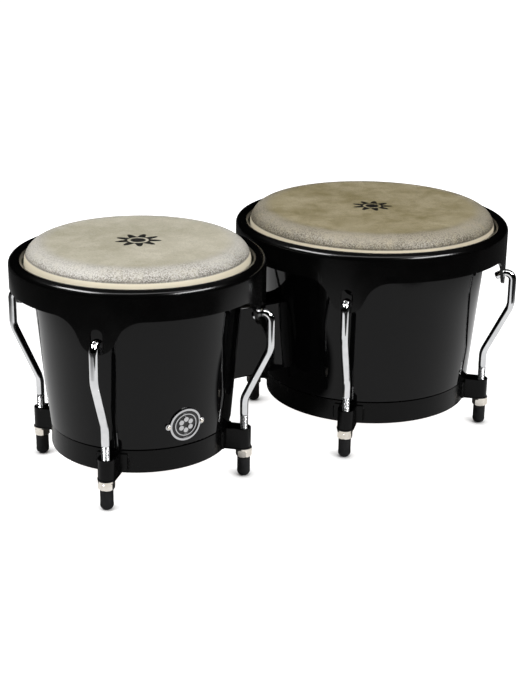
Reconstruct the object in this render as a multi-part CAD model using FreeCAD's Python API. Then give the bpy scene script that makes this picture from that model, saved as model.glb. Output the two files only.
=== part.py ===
"""Bongo drums: two tapered wooden drums bolted to one centre block, with rolled steel rims that four
cranked hooks a drum pull down through brackets on the bottom ring. The rod ends stand on rubber tips.

Millimetres, +Z up, the drums side by side along X, the small one on the -X side, the badge facing -Y.
The origin is on the floor under the middle of the pair's box. The large drum is the small drum with
SIZE_STEP added to every radius, and both share all heights and all hardware.
"""
import FreeCAD, Part
import math
import os
from FreeCAD import Vector

# Overall
SIZE_STEP = 15.875            # radius step between the two drum sizes: 5/8 inch
AXIS_SPACING = 215.0          # between the two drum axes
HEAD_TOP_Z = 181.6            # the playing surface
LUG_ANGLES = {"back_right": 45, "back_left": 135, "front_left": 225, "front_right": 315}

# Shell, small drum
SHELL_TAPER = 0.0873          # outward growth per unit of height
SHELL_REF_Z = 150.0
SHELL_REF_R = 79.2            # outer radius at SHELL_REF_Z
BEARING_R = 70.8              # radius of the crest that the skin lies on
BEARING_ROUND = 10.0          # outer round-over of the bearing edge
BEARING_INNER_ROUND = 1.4

# Head
SKIN = 1.0
HEAD_SHOULDER_R = 13.7
COLLAR_R = BEARING_R + HEAD_SHOULDER_R
COLLAR_END_Z = 164.5
HOOP_ROD_R = 2.5
HOOP_Z = 159.5
HOOP_FIT = 0.05               # between the hoop's rod and the skin around it

# Rim
RIM_R = 96.0
RIM_SHEET = 2.4
RIM_CURL_R = 5.1              # outer radius of the rolled top edge
RIM_TOP_Z = 171.7
RIM_LIP_Z = 163.05            # lower end of the inner lip, on top of the tucked hoop
SKIRT_BOTTOM_Z = 149.6
EAR_LOBE_R = 13.6
EAR_LOBE_Z = 138.2
EAR_FLARE_R = 20.0            # concave flare between the skirt's edge and the lobe
EAR_FLARE_Y = 33.0
EAR_SHOULDER_Z = 135.5        # small step where the flares end
EAR_SLOT_R = 4.6              # upright slot that the hook passes through
EAR_SLOT_TOP_Z = 143.4
EAR_SLOT_BOTTOM_Z = 128.5

# Bottom ring
RING_R = 68.8
RING_SHEET = 2.5
RING_BOTTOM_Z = 23.3
RING_TOP_Z = 41.0
RING_LIP_R = 58.5             # inner edge of the lip that the shell stands on
RING_EDGE_R = 0.8
SHELL_FIT = 0.2               # shell in ring, radially
SHELL_SEAM = 1.0              # dark seam above the ring
SHELL_FOOT_ROUND = 1.0        # the shell's outer edge over the seam

# Brackets
ROD_LOW_R = 82.4              # distance of the hooks' lower ends from the drum's axis
STRAP_BACK = 1.2              # the strap's round end is centred this far inside the rod
BRACKET_HALF_WIDTH = 6.6
BRACKET_SHEET = 1.6
BRACKET_BOTTOM_Z = 23.3
BRACKET_TOP_Z = 39.8
BRACKET_FLOOR = 2.0
BRACKET_LIP = 0.4             # the floor plate stands proud of the strap
BRACKET_HOLE_R = 3.5
FLANGE_REACH = 11.6
FLANGE_SHEET = 1.4
FLANGE_INSET = 1.2            # the weld flange is lower than the strap at both ends

# Hooks
ROD_R = 3.175
ROD_END_Z = 4.0
CRANK_LOW_Z = 63.5
CRANK_HIGH_Z = 105.5
CRANK_OUT = 19.9
CRANK_BEND_R = 18.0
HOOK_BEND_R = 5.6
HOOK_Z = 127.8                # centre of the bend over the ear
HOOK_TURN = 118.0             # degrees
HOOK_TIP = 6.3                # straight end beyond the bend
HOOK_TIP_ROUND = 1.2

# Tuning nuts, washers, tips
NUT_FLATS = 11.1
NUT_HEIGHT = 5.5
NUT_BORE_R = 3.225
NUT_CHAMFER = 0.7
WASHER_R = 6.35
WASHER_BORE_R = 3.5
WASHER_SHEET = 1.3
NUT_FIT = 0.05                # between nut and washer
TIP_R = 5.0
TIP_TOP_Z = 16.15
TIP_FLAT_R = 2.0
TIP_ROUND_Z = 5.0             # height of the rounded nose
TIP_KNEE = (0.28, 0.3)        # where the nose's profile turns, as shares of its width and height
TIP_EDGE = 0.5                # bevel of the upper edge

# Centre block and its bolts
BLOCK_HALF_DEPTH = 13.6
BLOCK_BOTTOM_Z = 60.0
BLOCK_TOP_Z = 118.7
BLOCK_EDGE_R = 1.6
BOLT_ZS = (75.0, 103.7)
BOLT_R = 4.0
BOLT_HOLE_R = 4.25
BOLT_HEAD_FLATS = 13.0
BOLT_HEAD_HEIGHT = 5.3
BOLT_REACH = 15.0             # into the block
BOLT_SEAT_FIT = 0.05          # between bolt head and backing plate
INSERT_R = 6.0
INSERT_DEPTH = 16.0
INSERT_BORE_R = 4.05
INSERT_INSET = 1.0
PLATE_SHEET = 2.0
PLATE_HALF_WIDTH = 12.0
PLATE_OVERHANG = 11.0         # beyond the bolts, up and down

# Badge on the small shell
BADGE_R = 12.6
BADGE_Z = 59.5
BADGE_BASE = 0.9
BADGE_RELIEF = 0.6
BADGE_RING = 1.5
BADGE_INNER_RING_R = 8.8
BADGE_INNER_RING = 0.7
BADGE_PETALS = 6
BADGE_PETAL_R = 1.9
BADGE_PETAL_CIRCLE = 4.3
BADGE_TAB_R = 2.3
BADGE_TAB_Y = 13.6            # from the badge's middle to the tabs' and pins' centres
BADGE_PIN_R = 0.8
BADGE_PIN_IN = 8.0            # into the shell
BADGE_PIN_HEAD_R = 1.5
BADGE_PIN_HEAD = 0.8
BADGE_PIN_ROUND = 0.4

AXIS_Z = Vector(0, 0, 1)
ORIGIN = Vector(0, 0, 0)


class Drum:
    """One of the two sizes: its name, where its axis stands and what is added to every radius."""

    def __init__(self, name, x, step, block_angle):
        self.name = name
        self.x = x
        self.step = step
        self.block_angle = block_angle

    def place(self, shape, angle=0.0):
        """A shape made on the axis at angle 0, turned about the axis and moved to this drum."""
        placed = shape.copy()
        placed.rotate(ORIGIN, AXIS_Z, angle)
        placed.translate(Vector(self.x, 0, 0))
        return placed

    def shell_r(self, z):
        """Outer radius of the shell at a height."""
        return SHELL_REF_R + self.step + (z - SHELL_REF_Z) * SHELL_TAPER


HALF_SPAN = (AXIS_SPACING + SIZE_STEP) / 2
SMALL = Drum("small", -HALF_SPAN, 0.0, 0)
LARGE = Drum("large", AXIS_SPACING - HALF_SPAN, SIZE_STEP, 180)


def save(name, *solids):
    """Write one node; identical fasteners share a node as separate solids."""
    shape = solids[0] if len(solids) == 1 else Part.makeCompound(list(solids))
    shape.exportStep(f"parts/{name}.step")
    solids_made = len(shape.Solids)
    print(f"{name:28s} {solids_made:2d} solid(s) {shape.Volume / 1000:9.3f} cm3 valid {shape.isValid()}")


def outline(*steps):
    """A closed wire in the XZ plane. A step is a point (x, z), or ((x, z), (x, z)) for an arc through
    the first point to the second."""
    def at(point):
        return Vector(point[0], 0, point[1])

    edges = []
    here = at(steps[0])
    for step in steps[1:] + (steps[0],):
        if isinstance(step[0], tuple):
            there = at(step[1])
            edges.append(Part.Arc(here, at(step[0]), there).toShape())
        else:
            there = at(step)
            edges.append(Part.LineSegment(here, there).toShape())
        here = there
    return Part.Wire(edges)


def spin(*steps):
    """The solid of revolution of an outline about Z."""
    return Part.Face(outline(*steps)).revolve(ORIGIN, AXIS_Z, 360)


def arc_point(centre, radius, degrees):
    """A point (x, z) on a circle, for an arc's middle or end."""
    turn = math.radians(degrees)
    return (centre[0] + radius * math.cos(turn), centre[1] + radius * math.sin(turn))


def tube(r_in, r_out, z0, z1):
    outer = Part.makeCylinder(r_out, z1 - z0, Vector(0, 0, z0))
    return outer.cut(Part.makeCylinder(r_in, z1 - z0, Vector(0, 0, z0)))


def rod_x(radius, x0, x1, y, z):
    """A round bar along X."""
    return Part.makeCylinder(radius, x1 - x0, Vector(x0, y, z), Vector(1, 0, 0))


def hex_prism(flats, height, base, axis):
    """A hexagonal prism standing on base along axis, with its corners turned down at both ends."""
    corner_r = flats / math.sqrt(3)
    points = [Vector(corner_r * math.cos(k * math.pi / 3), corner_r * math.sin(k * math.pi / 3), 0)
              for k in range(7)]
    prism = Part.Face(Part.makePolygon(points)).extrude(Vector(0, 0, height))
    turned = Part.makeCylinder(corner_r, height)
    turned = turned.makeChamfer(NUT_CHAMFER, [e for e in turned.Edges if e.isClosed()])
    solid = prism.common(turned)
    solid.Placement = FreeCAD.Placement(base, FreeCAD.Rotation(AXIS_Z, axis))
    return solid


# Wood -------------------------------------------------------------------------------------------

def make_shell(drum):
    """Tapered shell with a round-over bearing edge on top and a rabbet that stands in the ring."""
    crest_z = HEAD_TOP_Z - SKIN
    crest_r = BEARING_R + drum.step
    round_c = (crest_r, crest_z - BEARING_ROUND)
    foot_z = RING_BOTTOM_Z + RING_SHEET
    seam_z = RING_TOP_Z + SHELL_SEAM
    round_z = seam_z + SHELL_FOOT_ROUND
    foot_c = (drum.shell_r(round_z) - SHELL_FOOT_ROUND, round_z)
    rabbet_r = RING_R + drum.step - RING_SHEET - SHELL_FIT
    top_in_r = crest_r - BEARING_INNER_ROUND
    foot_in_r = top_in_r - (crest_z - foot_z) * SHELL_TAPER
    inner_c = (crest_r, crest_z - BEARING_INNER_ROUND)
    shell = spin(
        (foot_in_r, foot_z), (rabbet_r, foot_z), (rabbet_r, seam_z), (foot_c[0], seam_z),
        (arc_point(foot_c, SHELL_FOOT_ROUND, -45), (drum.shell_r(round_z), round_z)),
        (drum.shell_r(round_c[1]), round_c[1]),
        (arc_point(round_c, BEARING_ROUND, 45), (crest_r, crest_z)),
        (arc_point(inner_c, BEARING_INNER_ROUND, 135), (top_in_r, inner_c[1])))
    for z in BOLT_ZS:
        shell = shell.cut(rod_x(BOLT_HOLE_R, 0, RIM_R + drum.step, 0, z))
    return drum.place(shell, drum.block_angle)


def make_block():
    """Centre block, hollowed at both ends to sit against the shells, with bores for the inserts."""
    block = Part.makeBox(AXIS_SPACING, 2 * BLOCK_HALF_DEPTH, BLOCK_TOP_Z - BLOCK_BOTTOM_Z,
                         Vector(SMALL.x, -BLOCK_HALF_DEPTH, BLOCK_BOTTOM_Z))
    block = block.makeFillet(BLOCK_EDGE_R, [e for e in block.Edges if abs(e.tangentAt(0).x) > 0.9])
    for drum in (SMALL, LARGE):
        body = Part.makeCone(drum.shell_r(0), drum.shell_r(HEAD_TOP_Z), HEAD_TOP_Z)
        block = block.cut(drum.place(body))
        for z in BOLT_ZS:
            face = drum.shell_r(z)
            bore = rod_x(INSERT_R, 0, face + INSERT_INSET + INSERT_DEPTH, 0, z)
            block = block.cut(drum.place(bore, drum.block_angle))
    return block


# Skin and its hoop ------------------------------------------------------------------------------

def make_head(drum):
    """Playing surface, shoulder and collar of the skin, down to inside the rim."""
    centre = (BEARING_R + drum.step, HEAD_TOP_Z - HEAD_SHOULDER_R)
    outer_r = COLLAR_R + drum.step
    inner_r = outer_r - SKIN
    return drum.place(spin(
        (0, HEAD_TOP_Z), (centre[0], HEAD_TOP_Z),
        (arc_point(centre, HEAD_SHOULDER_R, 45), (outer_r, centre[1])),
        (outer_r, COLLAR_END_Z), (inner_r, COLLAR_END_Z), (inner_r, centre[1]),
        (arc_point(centre, HEAD_SHOULDER_R - SKIN, 45), (centre[0], HEAD_TOP_Z - SKIN)),
        (0, HEAD_TOP_Z - SKIN)))


def hoop_r(drum):
    """Radius of the flesh hoop's centre line: the skin runs down inside it."""
    return COLLAR_R + drum.step + HOOP_ROD_R


def make_head_tuck(drum):
    """The edge of the skin, wrapped round the flesh hoop."""
    centre = Vector(0, 0, HOOP_Z)
    wrap = Part.makeTorus(hoop_r(drum), HOOP_ROD_R + SKIN, centre)
    return drum.place(wrap.cut(Part.makeTorus(hoop_r(drum), HOOP_ROD_R, centre)))


def make_flesh_hoop(drum):
    return drum.place(Part.makeTorus(hoop_r(drum), HOOP_ROD_R - HOOP_FIT, Vector(0, 0, HOOP_Z)))


# Steel rim and ring -----------------------------------------------------------------------------

def ear_prism():
    """Outline of one ear, seen along the radius: a round lobe below two concave flares."""
    flare_z = SKIRT_BOTTOM_Z - EAR_FLARE_R
    reach = RIM_R + SIZE_STEP
    web = Part.makeBox(reach, 2 * EAR_FLARE_Y, SKIRT_BOTTOM_Z + RIM_SHEET - EAR_SHOULDER_Z,
                       Vector(0, -EAR_FLARE_Y, EAR_SHOULDER_Z))
    for side in (-1, 1):
        web = web.cut(rod_x(EAR_FLARE_R, 0, reach, side * EAR_FLARE_Y, flare_z))
    slot_top = EAR_SLOT_TOP_Z - EAR_SLOT_R
    slot_bottom = EAR_SLOT_BOTTOM_Z + EAR_SLOT_R
    slot = Part.makeBox(reach, 2 * EAR_SLOT_R, slot_top - slot_bottom, Vector(0, -EAR_SLOT_R, slot_bottom))
    for z in (slot_top, slot_bottom):
        slot = slot.fuse(rod_x(EAR_SLOT_R, 0, reach, 0, z))
    return web.fuse(rod_x(EAR_LOBE_R, 0, reach, 0, EAR_LOBE_Z)).cut(slot)


def make_rim(drum):
    """Sheet rolled over at the top, with a lip inside that presses on the hoop, and four ears."""
    outer_r = RIM_R + drum.step
    skirt_r = outer_r - RIM_SHEET
    curl = (outer_r - RIM_CURL_R, RIM_TOP_Z - RIM_CURL_R)
    lip_r = outer_r - 2 * RIM_CURL_R
    rim = spin(
        (outer_r, SKIRT_BOTTOM_Z), (outer_r, curl[1]), ((curl[0], RIM_TOP_Z), (lip_r, curl[1])),
        (lip_r, RIM_LIP_Z), (lip_r + RIM_SHEET, RIM_LIP_Z), (lip_r + RIM_SHEET, curl[1]),
        ((curl[0], RIM_TOP_Z - RIM_SHEET), (skirt_r, curl[1])), (skirt_r, SKIRT_BOTTOM_Z))
    skirt = tube(skirt_r, outer_r, EAR_LOBE_Z - 2 * EAR_LOBE_R, SKIRT_BOTTOM_Z)
    for angle in LUG_ANGLES.values():
        prism = ear_prism()
        prism.rotate(ORIGIN, AXIS_Z, angle)
        rim = rim.fuse(skirt.common(prism))
    return drum.place(rim.removeSplitter())


def make_bottom_ring(drum):
    """Steel band with a lip turned in under the shell."""
    outer_r = RING_R + drum.step
    inner_r = outer_r - RING_SHEET
    lip_r = RING_LIP_R + drum.step
    low = (outer_r - RING_EDGE_R, RING_BOTTOM_Z + RING_EDGE_R)
    return drum.place(spin(
        (lip_r, RING_BOTTOM_Z), (low[0], RING_BOTTOM_Z),
        (arc_point(low, RING_EDGE_R, -45), (outer_r, low[1])),
        (outer_r, RING_TOP_Z), (inner_r, RING_TOP_Z), (inner_r, RING_BOTTOM_Z + RING_SHEET),
        (lip_r, RING_BOTTOM_Z + RING_SHEET)))


def strap_prism(half_width, end_r, z0, z1):
    """A bar from the axis out to a round end centred at end_r."""
    bar = Part.makeBox(end_r, 2 * half_width, z1 - z0, Vector(0, -half_width, z0))
    return bar.fuse(Part.makeCylinder(half_width, z1 - z0, Vector(end_r, 0, z0))).removeSplitter()


def make_bracket(drum):
    """U strap with a floor that the nut pulls on, welded to the ring by two flanges."""
    rod_r = ROD_LOW_R + drum.step
    ring_r = RING_R + drum.step
    end_r = rod_r - STRAP_BACK
    floor_z = BRACKET_BOTTOM_Z + BRACKET_FLOOR
    lip_z = BRACKET_BOTTOM_Z + BRACKET_FLOOR / 2
    strap = strap_prism(BRACKET_HALF_WIDTH, end_r, BRACKET_BOTTOM_Z, BRACKET_TOP_Z)
    strap = strap.fuse(strap_prism(BRACKET_HALF_WIDTH + BRACKET_LIP, end_r, BRACKET_BOTTOM_Z, lip_z))
    strap = strap.cut(strap_prism(BRACKET_HALF_WIDTH - BRACKET_SHEET, end_r, floor_z, BRACKET_TOP_Z))
    flange_z0 = RING_BOTTOM_Z + FLANGE_INSET
    flange_z1 = BRACKET_TOP_Z - FLANGE_INSET
    flange = tube(ring_r, ring_r + FLANGE_SHEET, flange_z0, flange_z1)
    flange = flange.common(Part.makeBox(rod_r, 2 * FLANGE_REACH, flange_z1 - flange_z0,
                                        Vector(0, -FLANGE_REACH, flange_z0)))
    gap = Part.makeBox(rod_r, 2 * (BRACKET_HALF_WIDTH - BRACKET_SHEET), BRACKET_TOP_Z,
                       Vector(0, BRACKET_SHEET - BRACKET_HALF_WIDTH, floor_z))
    strap = strap.fuse(flange.cut(gap))
    strap = strap.cut(Part.makeCylinder(ring_r, RING_TOP_Z))
    strap = strap.cut(Part.makeCylinder(BRACKET_HOLE_R, RING_TOP_Z, Vector(rod_r, 0, 0)))
    return strap.removeSplitter()


# Hooks, nuts, washers and tips ------------------------------------------------------------------

def make_hook(drum):
    """Rod with a crank that carries it out past the skirt, bent over through the ear's slot."""
    low_r = ROD_LOW_R + drum.step
    high_r = low_r + CRANK_OUT
    lean = math.atan2(CRANK_OUT, CRANK_HIGH_Z - CRANK_LOW_Z)
    trim = CRANK_BEND_R * math.tan(lean / 2)
    slope = (math.sin(lean), math.cos(lean))
    sag = CRANK_BEND_R * (1 - math.cos(lean / 2))
    swing = CRANK_BEND_R * math.sin(lean / 2)
    low_in = (low_r, CRANK_LOW_Z - trim)
    low_out = (low_r + trim * slope[0], CRANK_LOW_Z + trim * slope[1])
    high_in = (high_r - trim * slope[0], CRANK_HIGH_Z - trim * slope[1])
    high_out = (high_r, CRANK_HIGH_Z + trim)
    over = (high_r - HOOK_BEND_R, HOOK_Z)
    turned = arc_point(over, HOOK_BEND_R, HOOK_TURN)

    def line(a, b):
        return Part.LineSegment(Vector(a[0], 0, a[1]), Vector(b[0], 0, b[1])).toShape()

    def arc(a, middle, b):
        return Part.Arc(Vector(a[0], 0, a[1]), Vector(middle[0], 0, middle[1]),
                        Vector(b[0], 0, b[1])).toShape()

    path = Part.Wire([
        line((low_r, ROD_END_Z), low_in),
        arc(low_in, (low_r + sag, low_in[1] + swing), low_out),
        line(low_out, high_in),
        arc(high_in, (high_r - sag, high_out[1] - swing), high_out),
        line(high_out, (high_r, HOOK_Z)),
        arc((high_r, HOOK_Z), arc_point(over, HOOK_BEND_R, HOOK_TURN / 2), turned)])
    section = Part.Wire([Part.Circle(Vector(low_r, 0, ROD_END_Z), AXIS_Z, ROD_R).toShape()])
    rod = path.makePipeShell([section], True, False)
    tip = Part.makeCylinder(ROD_R, HOOK_TIP)
    tip = tip.makeFillet(HOOK_TIP_ROUND, [e for e in tip.Edges if e.isClosed()
                                          and e.BoundBox.Center.z > HOOK_TIP / 2])
    tip.rotate(ORIGIN, Vector(0, 1, 0), -HOOK_TURN)
    tip.translate(Vector(turned[0], 0, turned[1]))
    return rod.fuse(tip).removeSplitter()


def washer_bottom_z():
    return BRACKET_BOTTOM_Z - WASHER_SHEET


def make_washer(drum):
    rod_r = ROD_LOW_R + drum.step
    washer = tube(WASHER_BORE_R, WASHER_R, washer_bottom_z(), BRACKET_BOTTOM_Z)
    washer.translate(Vector(rod_r, 0, 0))
    return washer


def make_nut(drum):
    rod_r = ROD_LOW_R + drum.step
    base = Vector(rod_r, 0, washer_bottom_z() - NUT_FIT - NUT_HEIGHT)
    nut = hex_prism(NUT_FLATS, NUT_HEIGHT, base, AXIS_Z)
    return nut.cut(Part.makeCylinder(NUT_BORE_R, NUT_HEIGHT, base))


def make_tip(drum):
    """Bullet-shaped rubber foot pushed on the rod's end."""
    side = (TIP_R, TIP_ROUND_Z)
    knee = (TIP_R - TIP_KNEE[0] * (TIP_R - TIP_FLAT_R), TIP_KNEE[1] * TIP_ROUND_Z)
    tip = spin((0, 0), (TIP_FLAT_R, 0), (knee, side), (TIP_R, TIP_TOP_Z - TIP_EDGE),
               (TIP_R - TIP_EDGE, TIP_TOP_Z), (ROD_R, TIP_TOP_Z), (ROD_R, ROD_END_Z), (0, ROD_END_Z))
    tip.translate(Vector(ROD_LOW_R + drum.step, 0, 0))
    return tip


# Fastening of the block, inside the shells ------------------------------------------------------

def wall_in_r(drum, z):
    """Inner radius of the shell at a height."""
    top = BEARING_R + drum.step - BEARING_INNER_ROUND
    return top - (HEAD_TOP_Z - SKIN - z) * SHELL_TAPER


def make_backing_plate(drum):
    """Curved steel plate that spreads the bolts' pull over the shell's inner wall."""
    z0 = BOLT_ZS[0] - PLATE_OVERHANG
    z1 = BOLT_ZS[1] + PLATE_OVERHANG
    plate = spin((wall_in_r(drum, z0) - PLATE_SHEET, z0), (wall_in_r(drum, z0), z0),
                 (wall_in_r(drum, z1), z1), (wall_in_r(drum, z1) - PLATE_SHEET, z1))
    plate = plate.common(Part.makeBox(RIM_R + drum.step, 2 * PLATE_HALF_WIDTH, z1 - z0,
                                      Vector(0, -PLATE_HALF_WIDTH, z0)))
    for z in BOLT_ZS:
        plate = plate.cut(rod_x(BOLT_HOLE_R, 0, RIM_R + drum.step, 0, z))
    return drum.place(plate, drum.block_angle)


def make_block_bolt(drum, z):
    """Hexagon bolt from inside the shell into the block."""
    head_r = BOLT_HEAD_FLATS / math.sqrt(3)
    seat_r = wall_in_r(drum, z - head_r) - PLATE_SHEET
    seat = math.sqrt(seat_r ** 2 - head_r ** 2) - BOLT_SEAT_FIT
    base = Vector(seat - BOLT_HEAD_HEIGHT, 0, z)
    head = hex_prism(BOLT_HEAD_FLATS, BOLT_HEAD_HEIGHT, base, Vector(1, 0, 0))
    shank = rod_x(BOLT_R, seat - BOLT_HEAD_HEIGHT / 2, drum.shell_r(z) + BOLT_REACH, 0, z)
    return drum.place(head.fuse(shank).removeSplitter(), drum.block_angle)


def make_insert(drum, z):
    """Threaded steel insert in the block."""
    start = drum.shell_r(z) + INSERT_INSET
    insert = rod_x(INSERT_R, start, start + INSERT_DEPTH, 0, z)
    insert = insert.cut(rod_x(INSERT_BORE_R, start, start + INSERT_DEPTH, 0, z))
    return drum.place(insert, drum.block_angle)


# Badge ------------------------------------------------------------------------------------------

def shell_skin(drum, inner, outer):
    """A layer that follows the shell's outer wall, between two distances from it."""
    z0 = BADGE_Z - 2 * BADGE_R
    z1 = BADGE_Z + 2 * BADGE_R
    return spin((drum.shell_r(z0) + inner, z0), (drum.shell_r(z0) + outer, z0),
                (drum.shell_r(z1) + outer, z1), (drum.shell_r(z1) + inner, z1))


def badge_bar(radius, y=0.0, dz=0.0):
    return rod_x(radius, 0, RIM_R, y, BADGE_Z + dz)


def badge_tabs(radius):
    return badge_bar(radius, -BADGE_TAB_Y).fuse(badge_bar(radius, BADGE_TAB_Y))


def make_badge(pins):
    """Round plate bent to the shell, with a tab at each side: raised rings and a rosette of dots."""
    tabs = badge_tabs(BADGE_TAB_R)
    plate = shell_skin(SMALL, 0, BADGE_BASE).common(badge_bar(BADGE_R).fuse(tabs))
    relief = badge_bar(BADGE_R).cut(badge_bar(BADGE_R - BADGE_RING))
    relief = relief.fuse(tabs.cut(badge_bar(BADGE_R - BADGE_RING)))
    inner_ring = badge_bar(BADGE_INNER_RING_R).cut(badge_bar(BADGE_INNER_RING_R - BADGE_INNER_RING))
    relief = relief.fuse(inner_ring)
    for k in range(BADGE_PETALS):
        turn = 2 * math.pi * k / BADGE_PETALS
        relief = relief.fuse(badge_bar(BADGE_PETAL_R, BADGE_PETAL_CIRCLE * math.sin(turn),
                                       BADGE_PETAL_CIRCLE * math.cos(turn)))
    raised = shell_skin(SMALL, BADGE_BASE / 2, BADGE_BASE + BADGE_RELIEF).common(relief)
    badge = SMALL.place(plate.fuse(raised), -90)
    for pin in pins:
        badge = badge.cut(pin)
    return badge.removeSplitter()


def make_badge_pins():
    """Round-headed nails, square to the shell, one through each tab."""
    thickness = BADGE_BASE + BADGE_RELIEF
    face = SMALL.shell_r(BADGE_Z)
    seat = SMALL.shell_r(BADGE_Z + BADGE_PIN_HEAD_R) + thickness
    head = rod_x(BADGE_PIN_HEAD_R, seat, seat + BADGE_PIN_HEAD, 0, BADGE_Z)
    outer_edge = [e for e in head.Edges if e.isClosed() and e.BoundBox.Center.x > seat + BADGE_PIN_ROUND]
    head = head.makeFillet(BADGE_PIN_ROUND, outer_edge)
    pin = head.fuse(rod_x(BADGE_PIN_R, face - BADGE_PIN_IN, seat, 0, BADGE_Z)).removeSplitter()
    turn = math.degrees(math.asin(BADGE_TAB_Y / (face + thickness)))
    return [SMALL.place(pin, -90 + side * turn) for side in (-1, 1)]


def main():
    os.makedirs("parts", exist_ok=True)
    pins = make_badge_pins()
    for drum in (SMALL, LARGE):
        name = drum.name
        shell = make_shell(drum)
        if drum is SMALL:
            for pin in pins:
                shell = shell.cut(pin)
        save(f"{name}_shell", shell)
        save(f"{name}_head", make_head(drum))
        save(f"{name}_head_tuck", make_head_tuck(drum))
        save(f"{name}_flesh_hoop", make_flesh_hoop(drum))
        save(f"{name}_rim", make_rim(drum))
        save(f"{name}_bottom_ring", make_bottom_ring(drum))
        angles = LUG_ANGLES.values()
        save(f"{name}_brackets", *[drum.place(make_bracket(drum), a) for a in angles])
        save(f"{name}_washers", *[drum.place(make_washer(drum), a) for a in angles])
        for lug, angle in LUG_ANGLES.items():
            save(f"{name}_hook_{lug}", drum.place(make_hook(drum), angle))
            save(f"{name}_nut_{lug}", drum.place(make_nut(drum), angle))
            save(f"{name}_tip_{lug}", drum.place(make_tip(drum), angle))
        save(f"{name}_backing_plate", make_backing_plate(drum))
        save(f"{name}_block_bolts", *[make_block_bolt(drum, z) for z in BOLT_ZS])
        save(f"{name}_block_inserts", *[make_insert(drum, z) for z in BOLT_ZS])
    save("centre_block", make_block())
    save("badge", make_badge(pins))
    save("badge_pins", *pins)


main()
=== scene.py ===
"""Looks of the bongo drums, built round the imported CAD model.

Each skin is one continuous hide, the tuning hooks have a helical thread, and weld beads join the brackets
to the bottom rings. Everything else is the CAD part itself with a procedural finish. Shapes are given in
millimetres; heights and places inside the node materials, and the studio, are in metres.
"""
import bpy
import math
import random
from mathutils import Matrix, Vector


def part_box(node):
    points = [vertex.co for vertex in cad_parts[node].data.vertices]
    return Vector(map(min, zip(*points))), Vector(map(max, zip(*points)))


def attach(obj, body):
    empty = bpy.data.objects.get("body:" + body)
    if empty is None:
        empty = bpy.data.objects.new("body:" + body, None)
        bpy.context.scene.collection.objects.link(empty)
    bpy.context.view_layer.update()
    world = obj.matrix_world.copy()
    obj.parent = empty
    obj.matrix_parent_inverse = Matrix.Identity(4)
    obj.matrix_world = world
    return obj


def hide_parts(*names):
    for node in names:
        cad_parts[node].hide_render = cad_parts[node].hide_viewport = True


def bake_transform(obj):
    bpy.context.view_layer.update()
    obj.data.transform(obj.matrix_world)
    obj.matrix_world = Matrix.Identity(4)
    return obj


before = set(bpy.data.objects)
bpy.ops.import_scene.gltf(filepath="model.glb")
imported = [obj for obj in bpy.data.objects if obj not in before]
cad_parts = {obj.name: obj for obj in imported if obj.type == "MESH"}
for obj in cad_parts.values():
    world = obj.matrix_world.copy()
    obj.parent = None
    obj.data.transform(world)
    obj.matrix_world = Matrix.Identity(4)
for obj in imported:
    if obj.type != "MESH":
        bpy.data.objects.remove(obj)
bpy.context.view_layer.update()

MM = 0.001
STEP = 15.875                 # radius step from the small drum to the large one
LUGS = {"back_right": 45, "back_left": 135, "front_left": 225, "front_right": 315}


def axis_x(name):
    """Where a drum's axis stands, in millimetres."""
    low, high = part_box(f"{name}_head")
    return (low.x + high.x) / 2 / MM


DRUMS = {"small": (axis_x("small"), 0.0), "large": (axis_x("large"), STEP)}

# Shell: the small one's outer radius at a reference height, and its growth with height
SHELL_REF_Z, SHELL_REF_R, SHELL_TAPER = 150.0, 79.2, 0.0873
WALL_MASK = 4.0               # the lacquer wraps this far into the wall
BADGE_GROUND = 1.15           # what stands further off the shell than this is the badge's relief

# Skin: radii are the small drum's, and the large drum's are STEP more
HEAD_TOP_Z = 181.6
SKIN = 1.0
SHOULDER_R = 13.7
CREST_R = 70.8
COLLAR_R = CREST_R + SHOULDER_R
HOOP_Z, HOOP_R = 159.5, 2.5
COLLAR_RINGS_Z = (166.0, 164.0, 162.0, 160.6)
TUCK_START, TUCK_END = 180, 475               # where the hide meets and leaves the hoop, in degrees
FLAT_STEPS, SHOULDER_STEPS, TUCK_STEPS = 14, 14, 22
SKIN_SEGMENTS = 256
SKIN_SEED = 7
SLACK_Z, SLACK_REACH = 172.0, 7.0             # only the free collar and shoulder are uneven
WAVES, WAVE_LOBES, WAVE_SIZE = 5, (3, 11), (0.05, 0.16)

# Hook
ROD_R = 3.175
ROD_LOW_R = 82.4              # from the small drum's axis to the rod's, below the crank
ROD_END_Z = 4.0
THREAD_TOP_Z = 51.0
THREAD_PITCH = 1.27
THREAD_DEPTH = 0.62
THREAD_CREST = 0.12           # flat share of a pitch at the crest, and the same at the root
THREAD_RUN_OUT = 1.5          # pitches over which the thread ends
SMOOTH_LEAD = 1.5             # the first smooth ring stands this far above the thread
CRANK_LOW_Z, CRANK_HIGH_Z, CRANK_OUT, CRANK_BEND_R = 63.5, 105.5, 19.9, 18.0
CRANK_LEAD, HOOK_LEAD = 3.0, 2.0              # straight stretches before the crank and the hook
HOOK_BEND_R, HOOK_Z, HOOK_TURN, HOOK_TIP, HOOK_TIP_ROUND = 5.6, 127.8, 118.0, 6.3, 1.2
CRANK_STEPS, HOOK_STEPS, TIP_STEPS = 10, 22, 5
ROD_SEGMENTS = 32
RINGS_PER_PITCH = 8
GROOVE = "groove"             # mesh attribute: 1 in the root of a thread, 0 on its crest

# Bracket welds
RING_R = 68.8
WELD_REACH = 11.9
WELD_Z = (26.0, 37.0)
WELD_RIPPLES, STEPS_PER_RIPPLE, WELD_AROUND = 9, 6, 8
WELD_HIGH, WELD_WIDE, WELD_SINK = 1.25, 0.95, 0.2
WELD_BODY, WELD_RIPPLE = 0.85, 0.18           # size between the ripples, and what a ripple adds
WELD_END, WELD_STEEP = 0.02, 3.0              # share left at each end, and how fast it grows from there

# Print on the skin
PRINT_TURN = math.radians(-32.8)
RAYS = 9


# Node materials ---------------------------------------------------------------------------------

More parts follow.
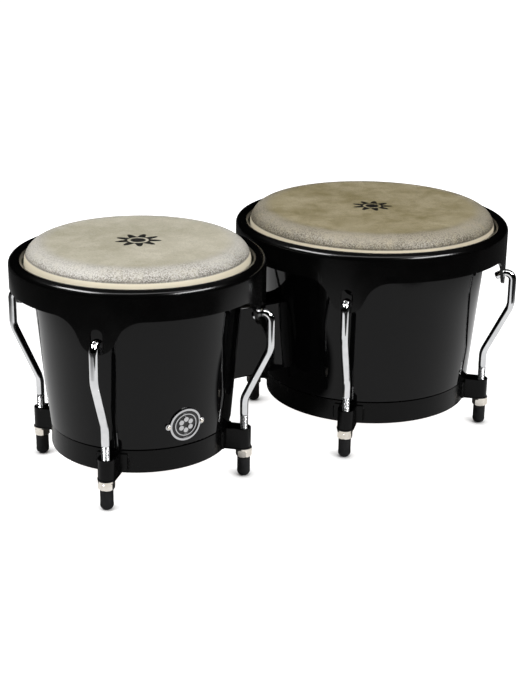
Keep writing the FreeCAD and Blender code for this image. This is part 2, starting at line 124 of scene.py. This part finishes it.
class Look:
    """A node material under construction."""

    def __init__(self, name, **sockets):
        self.material = bpy.data.materials.new(name)
        self.material.use_nodes = True
        self.tree = self.material.node_tree
        self.tree.nodes.clear()
        self.shader = self.add("ShaderNodeBsdfPrincipled")
        out = self.add("ShaderNodeOutputMaterial")
        self.tree.links.new(self.shader.outputs[0], out.inputs[0])
        self.place = self.add("ShaderNodeTexCoord").outputs["Object"]
        for socket, value in sockets.items():
            self.shader.inputs[socket.replace("_", " ")].default_value = value

    def add(self, kind, **settings):
        node = self.tree.nodes.new(kind)
        for key, value in settings.items():
            setattr(node, key, value)
        return node

    def feed(self, node, index, value):
        if isinstance(value, bpy.types.NodeSocket):
            self.tree.links.new(value, node.inputs[index])
        else:
            node.inputs[index].default_value = value

    def to(self, socket, value):
        self.tree.links.new(value, self.shader.inputs[socket])

    def math(self, operation, a, b=0.0, c=0.0, clamp=False):
        node = self.add("ShaderNodeMath", operation=operation, use_clamp=clamp)
        for index, value in enumerate((a, b, c)):
            self.feed(node, index, value)
        return node.outputs[0]

    def stretched(self, x, y, z):
        node = self.add("ShaderNodeMapping")
        self.feed(node, 0, self.place)
        node.inputs["Scale"].default_value = (x, y, z)
        return node.outputs[0]

    def noise(self, scale, detail=4.0, roughness=0.55, distortion=0.0, place=None):
        node = self.add("ShaderNodeTexNoise")
        self.feed(node, "Vector", place or self.place)
        for key, value in (("Scale", scale), ("Detail", detail), ("Roughness", roughness),
                           ("Distortion", distortion)):
            node.inputs[key].default_value = value
        return node.outputs[0]

    def span(self, value, low, high, to_low=0.0, to_high=1.0):
        """A smooth step from to_low to to_high as value goes from low to high."""
        node = self.add("ShaderNodeMapRange", interpolation_type="SMOOTHSTEP")
        for index, v in enumerate((value, low, high, to_low, to_high)):
            self.feed(node, index, v)
        return node.outputs[0]

    def scratches(self, turns):
        """Sparse hairlines in several directions across a flat top, angles in radians."""
        total = 0.0
        for turn in turns:
            node = self.add("ShaderNodeMapping")
            self.feed(node, 0, self.place)
            node.inputs["Rotation"].default_value = (0.0, 0.0, turn)
            node.inputs["Scale"].default_value = (1.0, 0.09, 1.0)
            line = self.noise(900.0, 2.0, 0.5, 0.5, node.outputs[0])
            where = self.span(self.noise(48.0 + 9.0 * turn, 2.0, 0.5), 0.52, 0.66)
            hairline = self.math("MULTIPLY", self.span(line, 0.63, 0.72), where)
            total = self.math("MAXIMUM", total, hairline)
        return total

    def mix(self, share, a, b):
        node = self.add("ShaderNodeMix", data_type="RGBA")
        for index, v in ((0, share), (6, a), (7, b)):
            if index != 0 and not isinstance(v, bpy.types.NodeSocket):
                v = (*v, 1.0)
            self.feed(node, index, v)
        return node.outputs[2]

    def bump(self, height, strength, distance_mm, under=None):
        node = self.add("ShaderNodeBump")
        node.inputs["Strength"].default_value = strength
        node.inputs["Distance"].default_value = distance_mm * MM
        self.feed(node, "Height", height)
        if under is not None:
            self.feed(node, "Normal", under)
        return node.outputs[0]

    def xyz(self):
        node = self.add("ShaderNodeSeparateXYZ")
        self.feed(node, 0, self.place)
        return node.outputs

    def from_axis(self, x_mm, y_mm=0.0):
        """Distance from an upright axis, and height, both in metres."""
        x, y, z = self.xyz()
        dx = self.math("SUBTRACT", x, x_mm * MM)
        dy = self.math("SUBTRACT", y, y_mm * MM)
        square = self.math("ADD", self.math("MULTIPLY", dx, dx), self.math("MULTIPLY", dy, dy))
        return self.math("SQRT", square), z

    def over_shell(self, radius, z, step, offset_mm):
        """How far outside the shell's surface, raised by an offset, a place lies, in metres."""
        at_zero = (SHELL_REF_R + step - SHELL_REF_Z * SHELL_TAPER + offset_mm) * MM
        return self.math("SUBTRACT", radius, self.math("MULTIPLY_ADD", z, SHELL_TAPER, at_zero))


def lacquer(name, drum=None):
    """Polished black lacquer; on a shell, bare wood on the inner wall."""
    look = Look(name, Metallic=0.0, Specular_IOR_Level=0.19)
    haze = look.noise(14.0, 3.0)
    gloss = look.span(haze, 0.3, 0.7, 0.035, 0.075)
    black = look.mix(haze, (0.0007, 0.0007, 0.0008), (0.0014, 0.0014, 0.0015))
    peel = look.bump(look.noise(420.0, 2.0), 0.035, 0.25)
    if drum is None:
        look.to("Base Color", black)
        look.to("Roughness", gloss)
        look.to("Normal", peel)
        return look.material
    x_mm, step = DRUMS[drum]
    radius, z = look.from_axis(x_mm)
    outside = look.span(look.over_shell(radius, z, step, -WALL_MASK), -0.0004, 0.0004)
    inside = look.math("SUBTRACT", 1.0, outside)
    grain = look.noise(55.0, 8.0, 0.62, 0.6, look.stretched(1.0, 1.0, 0.07))
    pores = look.span(look.noise(900.0, 3.0, 0.6, 0.0, look.stretched(1.0, 1.0, 0.05)), 0.56, 0.66)
    wood = look.mix(look.span(grain, 0.3, 0.72), (0.50, 0.31, 0.16), (0.72, 0.52, 0.31))
    wood = look.mix(look.math("MULTIPLY", pores, 0.55), wood, (0.24, 0.13, 0.06))
    look.to("Base Color", look.mix(outside, wood, black))
    look.to("Roughness", look.math("ADD", look.math("MULTIPLY", outside, gloss),
                                   look.math("MULTIPLY", inside, 0.62)))
    look.to("Normal", look.bump(look.math("MULTIPLY", inside, pores), 0.4, 0.15, peel))
    return look.material


def powder_coat(name, rough_low, rough_high, level):
    """Satin black powder coat with its fine orange peel."""
    look = Look(name, Metallic=0.0, Specular_IOR_Level=level)
    cloud = look.noise(60.0, 4.0)
    look.to("Base Color", look.mix(cloud, (0.0006, 0.0006, 0.0006), (0.0013, 0.0013, 0.0013)))
    look.to("Roughness", look.span(cloud, 0.3, 0.7, rough_low, rough_high))
    coarse = look.bump(look.noise(500.0, 2.0), 0.05, 0.10)
    look.to("Normal", look.bump(look.noise(2600.0, 2.0), 0.04, 0.05, coarse))
    return look.material


def metal(name, dark, light, rough, streak, wear=0.0):
    """Plated steel: cloudy tint, fine scratches, dull thread roots greyed with painted shade, and brown
    spots of wear.
    """
    look = Look(name, Metallic=1.0)
    cloud = look.noise(90.0, 5.0, 0.6)
    scratch = look.noise(1600.0, 3.0, 0.7, 0.0, look.stretched(1.0, 1.0, 0.06))
    colour = look.mix(look.span(cloud, 0.3, 0.7), dark, light)
    grooves = look.add("ShaderNodeAttribute", attribute_name=GROOVE).outputs["Fac"]
    # painted shade: grey towards the root of the thread
    colour = look.mix(look.math("MULTIPLY", grooves, 0.7), colour, (0.22, 0.22, 0.22))
    if wear:
        spots = look.span(look.noise(520.0, 4.0, 0.7), 0.62, 0.74)
        colour = look.mix(look.math("MULTIPLY", spots, wear), colour, (0.20, 0.15, 0.10))
    look.to("Base Color", colour)
    dull = look.math("ADD", look.math("MULTIPLY", scratch, streak), look.math("MULTIPLY", grooves, 0.3))
    look.to("Roughness", look.math("ADD", look.span(cloud, 0.25, 0.75, *rough), dull))
    look.to("Normal", look.bump(scratch, 0.05, 0.04))
    return look.material


def rubber():
    """Moulded black rubber, a little dusty."""
    look = Look("rubber_moulded", Metallic=0.0, Specular_IOR_Level=0.15)
    dust = look.noise(260.0, 5.0, 0.65)
    tint = look.mix(look.span(dust, 0.35, 0.75), (0.0035, 0.0035, 0.004), (0.009, 0.009, 0.0095))
    look.to("Base Color", tint)
    look.to("Roughness", look.span(dust, 0.3, 0.7, 0.52, 0.72))
    look.to("Normal", look.bump(look.noise(1900.0, 3.0), 0.25, 0.08))
    return look.material


def badge_metal():
    """Satin nickel relief on a black enamel ground, told apart by height over the shell."""
    look = Look("badge_nickel_enamel")
    radius, z = look.from_axis(DRUMS["small"][0])
    raised = look.span(look.over_shell(radius, z, 0.0, BADGE_GROUND), -0.00008, 0.00008)
    brushed = look.noise(1500.0, 3.0, 0.7, 0.0, look.stretched(0.08, 0.08, 1.0))
    nickel = look.mix(brushed, (0.46, 0.46, 0.47), (0.66, 0.66, 0.67))
    look.to("Base Color", look.mix(raised, (0.003, 0.003, 0.003), nickel))
    look.to("Metallic", raised)
    look.to("Roughness", look.math("MULTIPLY_ADD", brushed, 0.12, 0.16))
    look.to("Normal", look.bump(brushed, 0.06, 0.03))
    return look.material


def rawhide(drum, tints, print_mm, collar_mm):
    """Hide: cloudy playing surface, pale speckled shoulder with painted shade in the crease above the
    cream collar, a small printed sunburst.
    """
    dark, light, shoulder_dark_and_crease_shade, shoulder_light, cream = tints
    look = Look(f"rawhide_{drum}", Specular_IOR_Level=0.2)
    x_mm, step = DRUMS[drum]
    radius, z = look.from_axis(x_mm)
    clouds = look.noise(17.0, 3.0, 0.5)
    patches = look.noise(80.0, 8.0, 0.72, 0.6)
    pores = look.noise(850.0, 4.0, 0.8)
    scratches = look.scratches((0.9, 2.3, 4.1))
    top = look.mix(look.math("MULTIPLY_ADD", look.span(patches, 0.36, 0.64), 0.5,
                             look.span(clouds, 0.35, 0.68, 0.0, 0.5)), dark, light)
    top = look.mix(look.span(pores, 0.46, 0.70, 0.0, 0.5), top, tuple(0.62 * c for c in dark))
    top = look.mix(look.math("MULTIPLY", scratches, 0.35), top, shoulder_light)
    speckle = look.span(look.noise(900.0, 5.0, 0.85), 0.42, 0.58)
    # the shoulder turns paler higher up, with a cloudy variation
    height = look.span(z, 0.1735, 0.1800, -0.25, 0.25)
    paler_higher_up = look.math("MULTIPLY_ADD", look.span(clouds, 0.35, 0.65), 0.35, height)
    shoulder = look.mix(look.math("ADD", speckle, paler_higher_up, clamp=True), shoulder_dark_and_crease_shade, shoulder_light)
    shoulder = look.mix(look.span(patches, 0.45, 0.7, 0.0, 0.35), shoulder, light)
    ragged = look.math("MULTIPLY_ADD", look.math("SUBTRACT", patches, 0.5), 0.012, radius)
    edge = (CREST_R + step) * MM
    colour = look.mix(look.span(ragged, edge - 0.007, edge + 0.005), top, shoulder)
    collar = collar_mm * MM
    # painted shade: a thin band just above the collar, darkened towards the shoulder's dark tint as the
    # shade in the crease
    painted_crease_shade = look.math("MULTIPLY", look.span(z, collar, collar + 0.0007),
                       look.span(z, collar + 0.0007, collar + 0.0020, 1.0, 0.0))
    colour = look.mix(look.span(z, collar - 0.0004, collar + 0.0006, 1.0, 0.0), colour, cream)
    # the painted shade in the crease goes on here
    colour = look.mix(look.math("MULTIPLY", painted_crease_shade, 0.6), colour, shoulder_dark_and_crease_shade)
    ink = sunburst(look, x_mm, print_mm, pores)
    look.to("Base Color", look.mix(ink, colour, (0.004, 0.004, 0.004)))
    look.to("Roughness", look.span(patches, 0.3, 0.7, 0.42, 0.60))
    ripple = look.bump(patches, 0.16, 0.5)
    look.to("Normal", look.bump(look.math("ADD", pores, speckle), 0.22, 0.10, ripple))
    return look.material


def sunburst(look, x_mm, size_mm, pores):
    """The share of ink of a generic print: a disc with rays, squeezed into an oval."""
    x, y, _ = look.xyz()
    dx = look.math("SUBTRACT", x, x_mm * MM)
    cos_t, sin_t = math.cos(PRINT_TURN), math.sin(PRINT_TURN)
    u = look.math("ADD", look.math("MULTIPLY", dx, cos_t), look.math("MULTIPLY", y, sin_t))
    v = look.math("SUBTRACT", look.math("MULTIPLY", y, cos_t), look.math("MULTIPLY", dx, sin_t))
    u = look.math("MULTIPLY", u, 2.0 / (size_mm[0] * MM))
    v = look.math("MULTIPLY", v, 2.0 / (size_mm[1] * MM))
    reach = look.math("SQRT", look.math("ADD", look.math("MULTIPLY", u, u), look.math("MULTIPLY", v, v)))
    wave = look.math("COSINE", look.math("MULTIPLY", look.math("ARCTAN2", v, u), float(RAYS)))
    ray_end = look.math("MULTIPLY_ADD", wave, 0.22, 0.78)
    rays = look.span(look.math("SUBTRACT", ray_end, reach), 0.0, 0.05)
    hollow = look.math("MULTIPLY", look.span(reach, 0.30, 0.34), look.span(reach, 0.42, 0.46, 1.0, 0.0))
    ink = look.math("SUBTRACT", rays, hollow, clamp=True)
    return look.math("MULTIPLY", ink, look.span(pores, 0.45, 0.75, 1.0, 0.88))


# Meshes -----------------------------------------------------------------------------------------

def add_mesh(name, vertices, faces, material):
    """A smooth-shaded piece from millimetre vertices."""
    mesh = bpy.data.meshes.new(name)
    mesh.from_pydata([Vector(v) * MM for v in vertices], [], faces)
    mesh.polygons.foreach_set("use_smooth", [True] * len(mesh.polygons))
    mesh.materials.append(material)
    mesh.update()
    piece = bpy.data.objects.new(name, mesh)
    bpy.context.scene.collection.objects.link(piece)
    return piece


def arc_points(centre, radius, start, end, count):
    """Points (r, z) on an arc, both ends included, angles in degrees."""
    points = []
    for k in range(count + 1):
        turn = math.radians(start + (end - start) * k / count)
        points.append((centre[0] + radius * math.cos(turn), centre[1] + radius * math.sin(turn)))
    return points


def rings_to_faces(rings, segments):
    """Quads between neighbouring rings of equal length."""
    faces = []
    for k in range(rings - 1):
        for j in range(segments):
            a, b = k * segments + j, k * segments + (j + 1) % segments
            faces.append((a, b, b + segments, a + segments))
    return faces


def skin_profile(step):
    """The hide's outer side from near the axis down round the hoop, and back up its inner side."""
    crest = CREST_R + step
    hoop = (COLLAR_R + step + HOOP_R, HOOP_Z)
    shoulder = (crest, HEAD_TOP_Z - SHOULDER_R)
    flat = [crest * k / FLAT_STEPS for k in range(1, FLAT_STEPS)]
    outer = [(r, HEAD_TOP_Z) for r in flat]
    outer += arc_points(shoulder, SHOULDER_R, 90, 0, SHOULDER_STEPS)
    outer += [(COLLAR_R + step, z) for z in COLLAR_RINGS_Z]
    outer += arc_points(hoop, HOOP_R, TUCK_START, TUCK_END, TUCK_STEPS)
    inner = arc_points(hoop, HOOP_R + SKIN, TUCK_END, TUCK_START, TUCK_STEPS)
    inner += [(COLLAR_R + step - SKIN, z) for z in reversed(COLLAR_RINGS_Z)]
    inner += arc_points(shoulder, SHOULDER_R - SKIN, 0, 90, SHOULDER_STEPS)
    inner += [(r, HEAD_TOP_Z - SKIN) for r in reversed(flat)]
    return outer + inner


def make_skin(drum, material):
    """One hide from the playing surface to the tuck, in place of the CAD's head and tucked edge."""
    x_mm, step = DRUMS[drum]
    profile = skin_profile(step)
    rng = random.Random(SKIN_SEED + len(drum))
    waves = [(rng.randint(*WAVE_LOBES), rng.uniform(0, math.tau), rng.uniform(*WAVE_SIZE))
             for _ in range(WAVES)]
    vertices = []
    for r, z in profile:
        slack = max(0.0, 1.0 - abs(z - SLACK_Z) / SLACK_REACH)
        for j in range(SKIN_SEGMENTS):
            turn = math.tau * j / SKIN_SEGMENTS
            swell = slack * sum(size * (math.cos(n * turn + phase) - 1) / 2 for n, phase, size in waves)
            vertices.append((x_mm + (r + swell) * math.cos(turn), (r + swell) * math.sin(turn), z))
    faces = rings_to_faces(len(profile), SKIN_SEGMENTS)
    last = (len(profile) - 1) * SKIN_SEGMENTS
    top, under = len(vertices), len(vertices) + 1
    vertices += [(x_mm, 0, HEAD_TOP_Z), (x_mm, 0, HEAD_TOP_Z - SKIN)]
    for j in range(SKIN_SEGMENTS):
        k = (j + 1) % SKIN_SEGMENTS
        faces.append((top, k, j))
        faces.append((under, last + j, last + k))
    skin = add_mesh(f"{drum}_skin", vertices, faces, material)
    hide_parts(f"{drum}_head", f"{drum}_head_tuck")
    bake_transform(skin)


def hook_route(step):
    """Points (r, z) of the rod above its thread, and the direction in which it ends, in radians."""
    low_r = ROD_LOW_R + step
    high_r = low_r + CRANK_OUT
    lean = math.atan2(CRANK_OUT, CRANK_HIGH_Z - CRANK_LOW_Z)
    trim = CRANK_BEND_R * math.tan(lean / 2)
    bend = math.degrees(lean)
    route = [(low_r, THREAD_TOP_Z + SMOOTH_LEAD), (low_r, CRANK_LOW_Z - trim - CRANK_LEAD)]
    low_bend = (low_r + CRANK_BEND_R, CRANK_LOW_Z - trim)
    route += arc_points(low_bend, CRANK_BEND_R, 180, 180 - bend, CRANK_STEPS)
    high_bend = (high_r - CRANK_BEND_R, CRANK_HIGH_Z + trim)
    route += arc_points(high_bend, CRANK_BEND_R, -bend, 0, CRANK_STEPS)
    route.append((high_r, HOOK_Z - HOOK_LEAD))
    route += arc_points((high_r - HOOK_BEND_R, HOOK_Z), HOOK_BEND_R, 0, HOOK_TURN, HOOK_STEPS)
    way = math.radians(HOOK_TURN + 90)
    end = route[-1]
    route.append((end[0] + (HOOK_TIP - HOOK_TIP_ROUND) * math.cos(way),
                  end[1] + (HOOK_TIP - HOOK_TIP_ROUND) * math.sin(way)))
    return route, way


def thread_radius(phase):
    """Radius over one pitch: flat crest, flanks and a flat root."""
    flank = abs((phase % 1.0) - 0.5) * 2
    cut = (flank - THREAD_CREST) / (1 - 2 * THREAD_CREST)
    return ROD_R - THREAD_DEPTH * min(1.0, max(0.0, cut))


def rod_ring(centre, radius, across):
    """Points (r, side, z) round a centre (r, z), in the plane of the side and across directions."""
    ring = []
    for j in range(ROD_SEGMENTS):
        turn = math.tau * j / ROD_SEGMENTS
        out = radius * math.cos(turn)
        ring.append((centre[0] + out * across[0], radius * math.sin(turn), centre[1] + out * across[1]))
    return ring


def make_hook(drum, lug, material):
    """A threaded, cranked rod with its hook, in place of the CAD's plain one."""
    x_mm, step = DRUMS[drum]
    low_r = ROD_LOW_R + step
    rings = []                # each ring: ROD_SEGMENTS points (r, side, z)
    depths = []               # how deep each thread vertex lies, 0 to 1
    count = round((THREAD_TOP_Z - ROD_END_Z) / THREAD_PITCH * RINGS_PER_PITCH)
    for k in range(count + 1):
        z = ROD_END_Z + (THREAD_TOP_Z - ROD_END_Z) * k / count
        fade = min(1.0, (count - k) / (THREAD_RUN_OUT * RINGS_PER_PITCH))
        ring = []
        for j in range(ROD_SEGMENTS):
            turn = math.tau * j / ROD_SEGMENTS
            cut = thread_radius((z - ROD_END_Z) / THREAD_PITCH - j / ROD_SEGMENTS)
            radius = ROD_R + (cut - ROD_R) * fade
            depths.append((ROD_R - radius) / THREAD_DEPTH)
            ring.append((low_r + radius * math.cos(turn), radius * math.sin(turn), z))
        rings.append(ring)
    route, way = hook_route(step)
    for k, (r, z) in enumerate(route):
        before, after = route[max(0, k - 1)], route[min(len(route) - 1, k + 1)]
        dr, dz = after[0] - before[0], after[1] - before[1]
        if k == 0:
            dr, dz = 0.0, 1.0
        length = math.hypot(dr, dz)
        rings.append(rod_ring((r, z), ROD_R, (dz / length, -dr / length)))
    end, across = route[-1], (math.sin(way), -math.cos(way))
    for k in range(1, TIP_STEPS + 1):
        turn = math.radians(90 * k / TIP_STEPS)
        radius = ROD_R - HOOK_TIP_ROUND * (1 - math.cos(turn))
        out = HOOK_TIP_ROUND * math.sin(turn)
        centre = (end[0] + out * math.cos(way), end[1] + out * math.sin(way))
        rings.append(rod_ring(centre, radius, across))
    angle = math.radians(LUGS[lug])
    cos_a, sin_a = math.cos(angle), math.sin(angle)
    vertices = [(x_mm + r * cos_a - side * sin_a, r * sin_a + side * cos_a, z)
                for ring in rings for r, side, z in ring]
    faces = rings_to_faces(len(rings), ROD_SEGMENTS)
    last = (len(rings) - 1) * ROD_SEGMENTS
    faces.append(tuple(range(ROD_SEGMENTS - 1, -1, -1)))
    faces.append(tuple(range(last, last + ROD_SEGMENTS)))
    hook = add_mesh(f"{drum}_hook_threaded_{lug}", vertices, faces, material)
    depths += [0.0] * (len(vertices) - len(depths))
    hook.data.attributes.new(GROOVE, "FLOAT", "POINT").data.foreach_set("value", depths)
    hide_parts(f"{drum}_hook_{lug}")
    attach(hook, f"{drum}_rim_set")


def make_welds(drum, material):
    """Rippled weld beads where the bracket flanges end on the ring."""
    x_mm, step = DRUMS[drum]
    ring_r = RING_R + step
    vertices, faces = [], []
    steps = WELD_RIPPLES * STEPS_PER_RIPPLE
    for angle in LUGS.values():
        for side in (-1, 1):
            turn = math.radians(angle) + side * math.asin(WELD_REACH / ring_r)
            out = Vector((math.cos(turn), math.sin(turn), 0))
            along = Vector((-math.sin(turn), math.cos(turn), 0))
            base = len(vertices)
            for k in range(steps + 1):
                share = k / steps
                z = WELD_Z[0] + (WELD_Z[1] - WELD_Z[0]) * share
                taper = WELD_END + (1 - WELD_END) * min(1.0, math.sin(math.pi * share) * WELD_STEEP)
                ripple = abs(math.sin(math.pi * WELD_RIPPLES * share))
                size = taper * (WELD_BODY + WELD_RIPPLE * ripple)
                for j in range(WELD_AROUND + 1):
                    lift = math.pi * j / WELD_AROUND
                    reach = ring_r - WELD_SINK + WELD_HIGH * size * math.sin(lift)
                    point = out * reach + along * (WELD_WIDE * size * math.cos(lift))
                    vertices.append((x_mm + point.x, point.y, z))
            width = WELD_AROUND + 1
            for k in range(steps):
                for j in range(width):
                    a, b = base + k * width + j, base + k * width + (j + 1) % width
                    faces.append((a, b, b + width, a + width))
            faces.append(tuple(base + j for j in reversed(range(width))))
            faces.append(tuple(base + steps * width + j for j in range(width)))
    welds = add_mesh(f"{drum}_bracket_welds", vertices, faces, material)
    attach(welds, "drums")


# Finishes on the CAD parts ----------------------------------------------------------------------

def dress(node, material):
    """Give a CAD part one material all over."""
    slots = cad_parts[node].data.materials
    if not slots:
        slots.append(material)
    for k in range(len(slots)):
        slots[k] = material


rim_coat = powder_coat("powder_coat_rim", 0.16, 0.20, 0.20)
ring_coat = powder_coat("powder_coat_ring", 0.20, 0.28, 0.13)
chrome = metal("chrome_plate", (0.66, 0.67, 0.68), (0.78, 0.78, 0.79), (0.03, 0.07), 0.03)
nickel = metal("nickel_plate", (0.68, 0.63, 0.55), (0.88, 0.84, 0.78), (0.09, 0.15), 0.10, 0.5)
zinc = metal("zinc_plate", (0.50, 0.51, 0.53), (0.68, 0.69, 0.70), (0.26, 0.40), 0.12, 0.3)
moulded_rubber = rubber()

# Tints (playing surface dark and light, shoulder dark and light, collar), print size, collar height; the
# shoulder's dark tint is also the painted shade in the crease above the collar
HIDES = {
    "small": rawhide("small", ((0.375, 0.35, 0.262), (0.54, 0.505, 0.41), (0.128, 0.115, 0.094),
                               (0.51, 0.49, 0.446), (0.78, 0.71, 0.55)), (36.0, 35.0), 173.3),
    "large": rawhide("large", ((0.215, 0.18, 0.09), (0.385, 0.335, 0.22), (0.06, 0.049, 0.03),
                               (0.305, 0.275, 0.215), (0.67, 0.595, 0.45)), (34.0, 33.0), 171.7),
}

dress("centre_block", lacquer("lacquer_block"))
dress("badge", badge_metal())
dress("badge_pins", nickel)
for drum in DRUMS:
    dress(f"{drum}_shell", lacquer(f"lacquer_{drum}", drum))
    dress(f"{drum}_rim", rim_coat)
    dress(f"{drum}_bottom_ring", ring_coat)
    dress(f"{drum}_brackets", ring_coat)
    dress(f"{drum}_washers", nickel)
    for part in ("flesh_hoop", "backing_plate", "block_bolts", "block_inserts"):
        dress(f"{drum}_{part}", zinc)
    for lug in LUGS:
        dress(f"{drum}_nut_{lug}", nickel)
        dress(f"{drum}_tip_{lug}", moulded_rubber)
        make_hook(drum, lug, chrome)
    make_skin(drum, HIDES[drum])
    make_welds(drum, ring_coat)


# Studio -----------------------------------------------------------------------------------------

CAMERA = {"azimuth": -32.83, "elevation": 19.22, "roll": 1.04, "distance": 1.14114, "sensor": 36.0,
          "target": (0.0117125, 0.0, 0.09042), "lens": 74.54, "shift": (-0.0281, -0.0171)}
PLANE_HALF = 9.0
CONTACT_REACH, CONTACT_POWER = 0.012, 2.2     # reach and depth of the soft shade under the feet
TABLE_EDGE_Y = -0.375         # the front edge of the bright table, parallel to the pair of drums
TABLE_EDGE_SOFT = 0.008
TABLE_FADE = (0.38, 0.60)     # how far from the middle the table turns dark
SHADE_SOFT = 12.0             # millimetres, as in the discs of shade: centre x, centre y, radius
SHADES = ((DRUMS["small"][0], 0.0, 88.0),
          (DRUMS["large"][0], 0.0, 104.0),
          (DRUMS["large"][0] - 92.0, 60.0, 100.0))


def make_plane(name, material):
    """A wide level plane, on which the feet stand."""
    mesh = bpy.data.meshes.new(name)
    corners = [(x * PLANE_HALF, y * PLANE_HALF, 0.0) for x, y in ((-1, -1), (1, -1), (1, 1), (-1, 1))]
    mesh.from_pydata(corners, [], [(0, 1, 2, 3)])
    mesh.materials.append(material)
    plane = bpy.data.objects.new(name, mesh)
    bpy.context.scene.collection.objects.link(plane)
    return plane


def make_floor():
    """The bright floor that the camera sees, with soft shade under the feet."""
    look = Look("floor_light_table", Roughness=0.9, Specular_IOR_Level=0.05,
                Emission_Color=(1.0, 1.0, 1.0, 1.0))
    look.to("Base Color", look.mix(look.noise(3.0), (0.50, 0.50, 0.50), (0.52, 0.52, 0.52)))
    open_sky = look.add("ShaderNodeAmbientOcclusion", samples=8)
    open_sky.inputs["Distance"].default_value = CONTACT_REACH
    look.to("Emission Strength", look.math("POWER", open_sky.outputs["AO"], CONTACT_POWER))
    floor = make_plane("floor", look.material)
    floor.visible_glossy = False


def make_reflected_table():
    """What polished parts see in place of the floor: a white table that ends in front, turns dark far
    out, and lies in shade below the drums and behind the gap between them."""
    look = Look("floor_reflected", Roughness=0.9, Specular_IOR_Level=0.05)
    dark = look.span(look.xyz()[1], TABLE_EDGE_Y - TABLE_EDGE_SOFT, TABLE_EDGE_Y + TABLE_EDGE_SOFT,
                     1.0, 0.0)
    for x_mm, y_mm, reach_mm in SHADES:
        away = look.from_axis(x_mm, y_mm)[0]
        shade = look.span(away, (reach_mm - SHADE_SOFT) * MM, (reach_mm + SHADE_SOFT) * MM, 1.0, 0.0)
        dark = look.math("MAXIMUM", dark, shade)
    paper = look.mix(look.noise(3.0), (0.93, 0.93, 0.93), (0.95, 0.95, 0.95))
    far = look.span(look.from_axis(0.0)[0], *TABLE_FADE)
    lit = look.mix(far, paper, (0.05, 0.05, 0.05))
    look.to("Base Color", look.mix(dark, lit, (0.02, 0.02, 0.02)))
    table = make_plane("table_in_reflections", look.material)
    table.visible_camera = False
    table.visible_diffuse = False
    table.visible_shadow = False
    table.visible_transmission = False


def make_panel(name, place, target, size, watts):
    """A rectangular area light that faces a target and that the camera doesn't see."""
    light = bpy.data.lights.new(name, "AREA")
    light.shape = "RECTANGLE"
    light.size, light.size_y = size
    light.energy = watts
    panel = bpy.data.objects.new(name, light)
    bpy.context.scene.collection.objects.link(panel)
    panel.location = place
    panel.rotation_mode = "QUATERNION"
    panel.rotation_quaternion = (Vector(target) - Vector(place)).to_track_quat("-Z", "Y")
    panel.visible_camera = False
    return panel


def make_camera():
    """A camera at a distance from its target, in the direction of azimuth and elevation, with a roll."""
    azimuth, elevation, roll = (math.radians(CAMERA[k]) for k in ("azimuth", "elevation", "roll"))
    back = Vector((math.sin(azimuth) * math.cos(elevation), -math.cos(azimuth) * math.cos(elevation),
                   math.sin(elevation)))
    right = (-back).cross(Vector((0, 0, 1))).normalized()
    up = right.cross(-back)
    tilted_right = math.cos(roll) * right + math.sin(roll) * up
    tilted_up = math.cos(roll) * up - math.sin(roll) * right
    camera = bpy.data.objects.new("camera", bpy.data.cameras.new("camera"))
    bpy.context.scene.collection.objects.link(camera)
    camera.data.sensor_width = CAMERA["sensor"]
    camera.data.lens = CAMERA["lens"]
    camera.data.shift_x, camera.data.shift_y = CAMERA["shift"]
    turn = Matrix((tilted_right, tilted_up, back)).transposed().to_4x4()
    camera.matrix_world = Matrix.Translation(Vector(CAMERA["target"]) + back * CAMERA["distance"]) @ turn
    bpy.context.scene.camera = camera


def make_world():
    """White all round for the camera, and no light of its own."""
    world = bpy.data.worlds.new("studio")
    world.use_nodes = True
    background = world.node_tree.nodes["Background"]
    background.inputs["Color"].default_value = (1.0, 1.0, 1.0, 1.0)
    background.inputs["Strength"].default_value = 1.0
    world.cycles_visibility.diffuse = False
    world.cycles_visibility.glossy = False
    bpy.context.scene.world = world


HEADS = (0.0, 0.0, 0.17)
SOFTBOXES = {"left": ((-1.34, 0.16, 1.65), 34.0), "right": ((0.62, -1.54, 1.28), 30.0)}
SOFTBOX_SIZE = (1.1, 0.45)
GLARE = 1.1                   # power of a second panel for reflections only, as a share of its softbox
GLARE_PLACE = 0.97            # and its place, on the way from the origin to the softbox

make_floor()
make_reflected_table()
make_panel("ceiling", (0.0, 0.6, 2.6), (0.0, 0.6, 0.0), (5.0, 5.0), 12.0)
for side, (place, watts) in SOFTBOXES.items():
    make_panel(f"softbox_{side}", place, HEADS, SOFTBOX_SIZE, watts)
    nearer = Vector(place) * GLARE_PLACE
    glare = make_panel(f"glare_{side}", nearer, HEADS, SOFTBOX_SIZE, GLARE * watts)
    glare.visible_diffuse = False
strip = make_panel("strip_between", (-0.25, -0.60, 1.50), HEADS, (1.8, 0.25), 11.0)
strip.visible_diffuse = False
fill = make_panel("front_fill", (-1.1, -1.9, 1.3), HEADS, (2.0, 2.0), 12.0)
fill.visible_glossy = False
make_camera()
make_world()
bpy.context.scene.view_settings.view_transform = "Standard"
